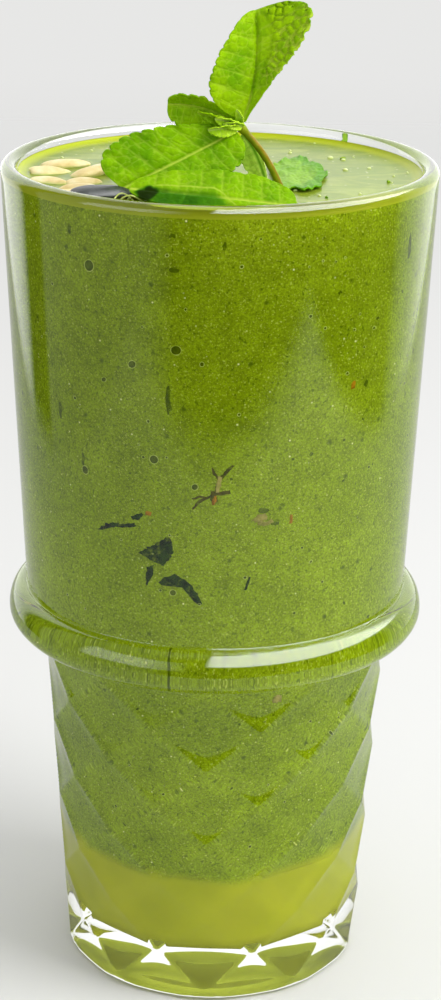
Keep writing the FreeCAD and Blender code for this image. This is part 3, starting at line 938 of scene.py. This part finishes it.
def make_float_leaf():
    """Leaf that lies flat on the drink, with a frilled edge that is darker away from the stem."""
    middle = NODE + np.array([10.6, 11.4, FLOATING])
    half_x, half_y = 5.0, 14.2
    grid = np.linspace(-1, 1, 73)
    face = np.zeros((len(grid), len(grid), 3))
    puff, edge, vein = (np.zeros((len(grid), len(grid))) for _ in range(3))
    for i, v in enumerate(grid):
        for j, u in enumerate(grid):
            x, y = u * math.sqrt(1 - v * v / 2), v * math.sqrt(1 - u * u / 2)
            share, turn = math.hypot(x, y), math.atan2(y, x)
            lobes = 0.05 * math.sin(5 * turn + 0.6) + 0.04 * math.sin(9 * turn + 2.0)
            lobes += 0.02 * math.sin(16 * turn + 1.1)
            reach = 1 + lobes * share ** 3
            face[i, j] = middle + np.array([x * half_x * reach, y * half_y * reach, 0.0])
            frill = 0.1 * math.sin(13 * turn + 2 * math.sin(5 * turn)) + 0.05 * math.sin(23 * turn)
            puff[i, j] = frill * share ** 8 + 0.15 * share ** 6
            puff[i, j] += 0.3 * noise.noise(Vector((x * 3.1, y * 3.1, 0.7)))
            puff[i, j] += 0.12 * noise.noise(Vector((x * 9, y * 12, 5.0)))
            edge[i, j] = share * (0.62 + 0.38 * smooth_step((x + 0.35) / 0.6))
            edge[i, j] += 0.3 * noise.noise(Vector((x * 5, y * 5, 3.0)))
            midrib = math.exp(-((x - 0.12 * math.sin(3 * y)) / 0.05) ** 2)
            vein[i, j] = 0.5 * midrib * (1 - share)
    points, faces = two_sided(face, puff, 0.3)
    material = leaf_material("mint_floating", (142, 186, 44), (116, 172, 20), (156, 196, 60),
                             edge=(96, 156, 4))
    piece = mesh_object("mint_leaf_float_leaf", points, faces, [material],
                        slot="mint_leaf", replaces=["mint_leaf_float"])
    paint(piece, "vein", np.tile(vein.ravel(), 2))
    paint(piece, "edge", np.tile(edge.ravel(), 2))


def make_leaflets():
    """The youngest leaves, at the node."""
    young = leaf_material("mint_young", (196, 230, 50), (158, 206, 14), (222, 240, 128))
    leaflets = [
        ((-0.6, -1.2, 0.3), (-3.0, -2.6, 0.6), (-5.8, -3.6, 0.2), 1.5),
        ((-0.4, -1.1, 0.6), (-2.4, -2.4, 1.9), (-4.6, -3.2, 2.1), 1.2),
        ((0.2, -1.0, 0.4), (-1.0, -2.2, 1.4), (-3.2, -3.1, 1.1), 0.9),
        ((0.4, -0.7, 0.8), (0.3, -1.2, 2.2), (-0.8, -1.6, 3.4), 0.9),
    ]
    for number, (*midrib, width) in enumerate(leaflets, 1):
        side = (width, 0.5, 5, 35, 0.6)
        leaf("bud_leaflet_%d" % number, young, midrib, (0, -0.6, 1), side, side, cup=0.2,
             laterals=6, teeth=7, depth=0.2, rugose=0.16, cells=1.1, thickness=0.22,
             rows=50, columns=20)


def tube(path, radii, around=20):
    """Closed round rod along a path of points."""
    points = [path[0]]
    for i, (p, r) in enumerate(zip(path, radii)):
        ahead = unit(path[min(i + 1, len(path) - 1)] - path[max(i - 1, 0)])
        side = unit(np.cross(ahead, (0.0, 1.0, 0.0)))
        up = np.cross(side, ahead)
        turns = round_angles(around)
        points += [p + r * (side * math.cos(a) + up * math.sin(a)) for a in turns]
    points.append(path[-1])
    return points, turned_faces(len(path), around, True, True)


def make_stem():
    """Bowed stem from the node down into the drink, redder on its right side."""
    path, radii = [], []
    for u in np.linspace(0, 1, 40):
        bow = np.array([0.62, 0.0, 0.42]) * 0.9 * math.sin(math.pi * u)
        path.append(NODE + (STEM_ENTRY - NODE) * u + bow)
        radii.append(0.62 + 0.25 * math.exp(-(u / 0.08) ** 2) + 0.02 * math.sin(u * 40))
    lead = unit(path[-1] - path[-2])
    for under in (1.0, 2.2, 3.6):
        path.append(STEM_ENTRY + lead * under)
        radii.append(0.6)
    head = [NODE - unit(path[1] - path[0]) * above for above in (0.75, 0.45)]
    points, faces = tube(head + path, [0.3, 0.75] + radii)
    shader = Shader("mint_stem", Roughness=0.45, IOR=1.4, Specular_IOR_Level=0.2)
    olive = shader.ramp(shader.noise(400, 3, 0.6), (0.35, colour(104, 124, 6)),
                        (0.65, colour(130, 144, 12)))
    shader.base(shader.mix(shader.attribute("warm"), olive, colour(122, 106, 4)))
    piece = mesh_object("mint_stem_stalk", points, faces, [shader.material],
                        slot="mint_stem", replaces=["mint_stem"])
    warmth = []
    for x, _, z in points:
        u = min(1.0, max(0.0, (NODE[2] - z) / (NODE[2] - SURFACE_Z)))
        line = NODE[0] + (STEM_ENTRY[0] - NODE[0]) * u + 0.6 * math.sin(math.pi * u)
        warmth.append(smooth_step((x - line - 0.1) / 0.6) * smooth_step(u / 0.15))
    paint(piece, "warm", warmth)


# ---- kernels, seed and what floats ----
def pebble(centre, size, turn=0, tip=0.35, tilt=0, roll=0, rough=0.05, seed=0, rows=22, around=36):
    """Flattened, pointed seed: size is length, width and thickness; tip tapers one end."""
    length, width, thick = size
    shape = [(-1, 0, 0)]
    for i in range(1, rows):
        a = math.pi * i / rows
        x, r = -math.cos(a), math.sin(a) ** (0.78 if i < rows / 2 else 1.0)
        for t in round_angles(around):
            z = math.copysign(abs(math.sin(t)) ** 1.1, math.sin(t))
            shape.append((x, r * math.cos(t) * (1 - tip * x), r * z * (1 - 0.5 * tip * x)))
    shape.append((1, 0, 0))
    points = []
    for x, y, z in shape:
        bump = 1 + rough * noise.noise(Vector((x * 1.5 + seed * 7.1, y * 1.5, z * 1.5)))
        x, y, z = x * length / 2 * bump, y * width / 2 * bump, z * thick / 2 * bump
        y, z = spin(y, z, math.radians(roll))
        x, z = spin(x, z, math.radians(tilt))
        x, y = spin(x, y, math.radians(turn))
        points.append((centre[0] + x, centre[1] + y, centre[2] + z))
    return points, turned_faces(rows - 1, around, True, True)


def make_kernels():
    """Pale kernels, as (x, y, rise, size, turn, tilt, roll); the drink wets them low down."""
    sunk = 0.35
    spots = [
        (-28.6, 5.6, 0.35, (9.2, 4.4, 2.3), 4, 4, 0),
        (-30.6, -0.8, 0.15, (8.0, 4.4, 2.2), 12, -5, 12),
        (-23.4, -2.0, 0.55, (9.0, 5.0, 2.6), 38, 10, -14),
        (-30.6, -8.6, -0.05, (8.8, 4.8, 2.2), -28, 2, 6),
        (-24.4, -9.8, 0.15, (7.0, 4.2, 2.2), 16, 3, 8),
        (-25.0, -15.4, 0.3, (7.6, 4.2, 2.2), 8, 5, 0),
        (-26.8, -19.2, 0.1, (7.4, 4.2, 2.2), 24, -3, -6),
        (-33.2, 3.4, -0.4, (6.6, 3.8, 2.0), 52, 0, 0),
    ]
    shader = Shader("kernel", Roughness=0.55, IOR=1.42, Specular_IOR_Level=0.3)
    tone = shader.ramp(shader.noise(240, 4, 0.6), (0.3, colour(206, 182, 116)),
                       (0.5, colour(228, 208, 150)), (0.7, colour(242, 232, 192)))
    level = shader.math("MULTIPLY_ADD", shader.noise(500, 2), 0.0006, shader.height())
    wet = shader.span(level, (SURFACE_Z + 0.75) * MM, SURFACE_Z * MM)
    shader.base(shader.mix(wet, tone, colour(186, 198, 112)))
    shader.bump(shader.noise(700, 3, 0.6, stretch=(0.5, 1.5, 1)), 0.3, 0.0003)
    for number, (x, y, rise, size, turn, tilt, roll) in enumerate(spots, 1):
        points, faces = pebble((x, y, SURFACE_Z + rise - sunk), size, turn, 0.26, tilt, roll,
                               rough=0.09, seed=number)
        mesh_object("kernel_%d" % number, points, faces, [shader.material], slot="kernel")


def make_dark_seed():
    """The dark seed, inside the box of its CAD node."""
    low, high = (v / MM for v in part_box("dark_seed"))
    size = (high.x - low.x - 0.2, 6.0, high.z - low.z - 0.1)
    points, faces = pebble((low + high) / 2, size, 8, tip=0.12, rough=0.08, seed=3)
    shader = Shader("dark_seed", Roughness=0.42, IOR=1.45)
    shader.base(shader.ramp(shader.noise(300, 4, 0.6), (0.3, colour(16, 18, 18)),
                            (0.7, colour(48, 52, 50))))
    shader.bump(shader.noise(900, 3, 0.6), 0.4, 0.0003)
    mesh_object("dark_seed_whole", points, faces, [shader.material],
                slot="seed", replaces=["dark_seed"])


def make_leaf_crumbs():
    """Green crumbs on the drink, as (x, y, size)."""
    spots = [
        (12.9, -26.2, 1.5), (14.4, -25.8, 1.0), (16.2, -25.4, 0.7), (9.6, -27.2, 0.8),
        (25.0, 32.0, 1.1), (21.6, 30.8, 0.8), (23.2, 14.9, 0.7), (-16.0, 27.0, 0.7),
        (18.6, -20.0, 0.5), (30.4, -6.0, 0.5), (-12.0, -24.6, 1.0),
    ]
    crumbs = [pebble((x, y, SURFACE_Z + 0.15), (size * 1.5, size, 0.5), rng.uniform(0, 180),
                     rough=0.5, seed=size * 9, rows=8, around=12) for x, y, size in spots]
    make_bits("leaf_crumbs", crumbs, (84, 130, 16), (140, 176, 40))


def make_froth():
    """Small bubbles that float: scattered ones, and larger ones as (x, y, size)."""
    scatter_r = 35.6
    spots = [
        (20.8, 15.7, 1.2), (23.2, 13.9, 0.9), (23.1, 4.6, 1.0), (13.3, 20.0, 0.8), (27.6, 6.4, 0.8),
    ]
    froth = []
    for _ in range(SCATTERED_FROTH):
        a, r = rng.uniform(0, 2 * math.pi), scatter_r * math.sqrt(rng.random())
        size = rng.uniform(0.3, 0.75)
        place = (r * math.cos(a), r * math.sin(a), SURFACE_Z)
        froth.append(pebble(place, (size, size, size * 0.8), tip=0, rough=0, rows=8, around=14))
    for x, y, size in spots:
        place = (x, y, SURFACE_Z)
        froth.append(pebble(place, (size, size, size * 0.7), tip=0, rough=0, rows=10, around=18))
    make_bits("froth_bubbles", froth, (178, 192, 100), (216, 224, 160), roughness=0.15, sheen=0.2)


def make_brown_crumbs():
    """Brown crumbs beside the dark seed, as (x, y, size)."""
    spots = [(-13.6, -17.6, 2.6), (-14.8, -23.6, 1.4), (-16.6, -24.6, 0.9), (-13.9, -20.6, 2.4)]
    crumbs = [pebble((x, y, SURFACE_Z + 0.3), (size, size * 0.7, 1.2), 30, rough=0.6, seed=size,
                     rows=10, around=16) for x, y, size in spots]
    make_bits("brown_crumbs", crumbs, (60, 56, 20), (118, 112, 52))


def make_fibres():
    """Pale threads that arch out of the drink beside the dark seed."""
    bends = [
        ((-18.4, -25.0), (-17.2, -22.6), (-14.9, -24.4)),
        ((-17.4, -24.8), (-15.6, -25.9), (-13.4, -24.6)),
        ((-14.6, -23.0), (-13.9, -21.9), (-13.2, -22.2)),
        ((-16.0, -23.9), (-14.2, -22.8), (-12.8, -23.4)),
    ]
    hairs = []
    for bend in bends:
        path = []
        for u in np.linspace(0, 1, 14):
            x, y = bezier([np.array(p) for p in bend], u)
            path.append(np.array([x, y, SURFACE_Z + 0.1 + 1.1 * math.sin(math.pi * u)]))
        hairs.append(tube(path, [0.13] * len(path), 8))
    make_bits("fibres", hairs, (176, 188, 96), (206, 212, 140))


# ---- stage, light and camera, in metres ----
PALE = (0.80, 0.80, 0.79)
FLOOR_TONE, FLOOR_IN_MIRRORS = (0.66, 0.66, 0.65), (0.52, 0.52, 0.5)
FLOOR_LEFT, FLOOR_RIGHT, FLOOR_NEAR, FLOOR_FAR = -0.33, 0.35, -0.335, 1.1
CAMERA_PLACE = (0, -0.4162, 0.24159)
CAMERA_TILT, CAMERA_ROLL = math.radians(19.688), math.radians(0.712)
LENS_LENGTH, LENS_SHIFT = 82.92, 0.00456
KEY_PLACE, KEY_TARGET, KEY_SIZE, KEY_POWER = (0.62, -0.26, 0.62), (0, 0, 0.1), 0.5, 6.2
# Half the studio's brightness at each bearing, in degrees to the right of the camera's side. The
# first is what mirrors see: the white backdrop behind the glass, a window at the left and dark
# walls. The second lights everything else.
MIRRORED_ROUND = ((-180, 1.0), (-134, 1.0), (-128, 0.75), (-123, 0.02), (-109, 0.015),
                  (-106, 0.25), (-40, 0.225), (-24, 0.01), (70, 0.01), (104, 0.04),
                  (113, 0.34), (122, 0.55), (138, 0.95), (180, 1.0))
EVEN_ROUND = ((-180, 0.58), (-135, 0.55), (-90, 0.48), (-20, 0.4), (40, 0.475),
              (100, 0.575), (140, 0.58), (180, 0.58))
CEILING = (0.55, 0.55, 0.55)
# Softboxes that only mirrors see: left and right bearing, low and high elevation, strength.
SOFTBOXES = ((-3, 140, 24, 84, 11.0), (-75, -14, 3, 38, 2.6))


class WorldShader(Shader):
    """Node helper for the world, where there is no surface shader."""

    def __init__(self, name):
        self.world = bpy.data.worlds.new(name)
        self.world.use_nodes = True
        self.tree = self.world.node_tree
        self.background = self.tree.nodes["Background"]


def bearing(degrees):
    return 0.5 + degrees / 360


def elevation(degrees):
    return 0.5 + degrees / 180


def make_world():
    """Studio: the camera sees a pale backdrop, mirrors see the room, and the rest even light."""
    shader = WorldShader("studio")
    bpy.context.scene.world = shader.world
    way = shader.parts(shader.node("TexCoord").outputs["Generated"])
    azimuth = shader.math("ARCTAN2", way["X"], shader.math("MULTIPLY", way["Y"], -1.0))
    turn = shader.math("MULTIPLY_ADD", azimuth, 1 / (2 * math.pi), 0.5)
    rise = shader.math("MULTIPLY_ADD", shader.math("ARCSINE", way["Z"]), 1 / math.pi, 0.5)

    def doubled(stops):
        tone = shader.ramp(turn, *((bearing(degrees), half) for degrees, half in stops))
        return shader.times(tone, (2.0, 2.0, 2.0))

    overhead = shader.ramp(rise, (elevation(50), 0.0), (elevation(75), 1.0))
    mirror = shader.mix(overhead, doubled(MIRRORED_ROUND), CEILING)
    for left, right, low, high, strength in SOFTBOXES:
        wide = shader.ramp(turn, (bearing(left - 2), 0.0), (bearing(left + 2), 1.0),
                           (bearing(right - 25), 1.0), (bearing(right), 0.0))
        tall = shader.ramp(rise, (elevation(low - 2), 0.0), (elevation(low + 2), 1.0),
                           (elevation(high - 6), 1.0), (elevation(high), 0.0))
        patch = shader.math("MULTIPLY", shader.math("MULTIPLY", wide, tall), strength)
        mirror = shader.mix(1.0, mirror, patch, "ADD")
    from_camera, mirrored = shader.rays()
    light = shader.mix(mirrored, doubled(EVEN_ROUND), mirror)
    shader.link(shader.mix(from_camera, light, PALE), shader.background.inputs["Color"])
    shader.background.inputs["Strength"].default_value = 1.0


def make_stage():
    """Pale table: a rectangle whose edges fade away softly."""
    mesh = bpy.data.meshes.new("floor")
    corners = [(FLOOR_LEFT, FLOOR_NEAR, 0), (FLOOR_RIGHT, FLOOR_NEAR, 0),
               (FLOOR_RIGHT, FLOOR_FAR, 0), (FLOOR_LEFT, FLOOR_FAR, 0)]
    mesh.from_pydata(corners, [], [(0, 1, 2, 3)])
    shader = Shader("pale_floor", Roughness=0.9, Specular_IOR_Level=0.0)
    mirrored = shader.rays()[1]
    shader.base(shader.mix(mirrored, FLOOR_TONE, FLOOR_IN_MIRRORS))
    place = shader.parts(shader.position())
    kept = [shader.span(place["X"], FLOOR_LEFT, FLOOR_LEFT + 0.05),
            shader.span(place["X"], FLOOR_RIGHT, FLOOR_RIGHT - 0.05),
            shader.span(place["Y"], FLOOR_NEAR, FLOOR_NEAR + 0.08),
            shader.span(place["Y"], FLOOR_FAR, FLOOR_FAR - 0.5)]
    sideways = shader.math("MULTIPLY", kept[0], kept[1])
    lengthways = shader.math("MULTIPLY", kept[2], kept[3])
    share = shader.math("MULTIPLY", sideways, lengthways)
    shader.blend(share, shader.node("BsdfTransparent"), shader.bsdf)
    mesh.materials.append(shader.material)
    floor = bpy.data.objects.new("floor", mesh)
    floor.location.z = -0.0002
    bpy.context.scene.collection.objects.link(floor)


def make_key_light():
    """Square lamp at the right, which mirrors don't see."""
    light = bpy.data.lights.new("right_key", "AREA")
    light.shape = "RECTANGLE"
    light.size = light.size_y = KEY_SIZE
    light.energy = KEY_POWER
    lamp = bpy.data.objects.new("right_key", light)
    lamp.location = KEY_PLACE
    aim = (Vector(KEY_TARGET) - Vector(KEY_PLACE)).to_track_quat("-Z", "Y")
    lamp.rotation_euler = aim.to_euler()
    lamp.visible_glossy = False
    bpy.context.scene.collection.objects.link(lamp)


def make_camera():
    """Camera in front of the glass and a little above it, looking down at it."""
    lens = bpy.data.cameras.new("camera")
    lens.sensor_width = 36
    lens.lens = LENS_LENGTH
    lens.shift_x = LENS_SHIFT
    lens.clip_start = 0.01
    camera = bpy.data.objects.new("camera", lens)
    camera.location = CAMERA_PLACE
    look = Vector((0, math.cos(CAMERA_TILT), -math.sin(CAMERA_TILT)))
    aim = look.to_track_quat("-Z", "Y") @ Quaternion((0, 0, 1), CAMERA_ROLL)
    camera.rotation_euler = aim.to_euler()
    bpy.context.scene.collection.objects.link(camera)
    bpy.context.scene.camera = camera


bpy.context.scene.view_settings.view_transform = "Standard"
make_camera()
make_world()
make_stage()
make_key_light()
make_glass()
make_drink()
make_leaf_flakes()
make_twig()
make_husks()
make_orange_bits()
make_smudges()
make_bubbles()
make_sprig_leaves()
make_float_leaf()
make_leaflets()
make_stem()
make_kernels()
make_dark_seed()
make_leaf_crumbs()
make_froth()
make_brown_crumbs()
make_fibres()
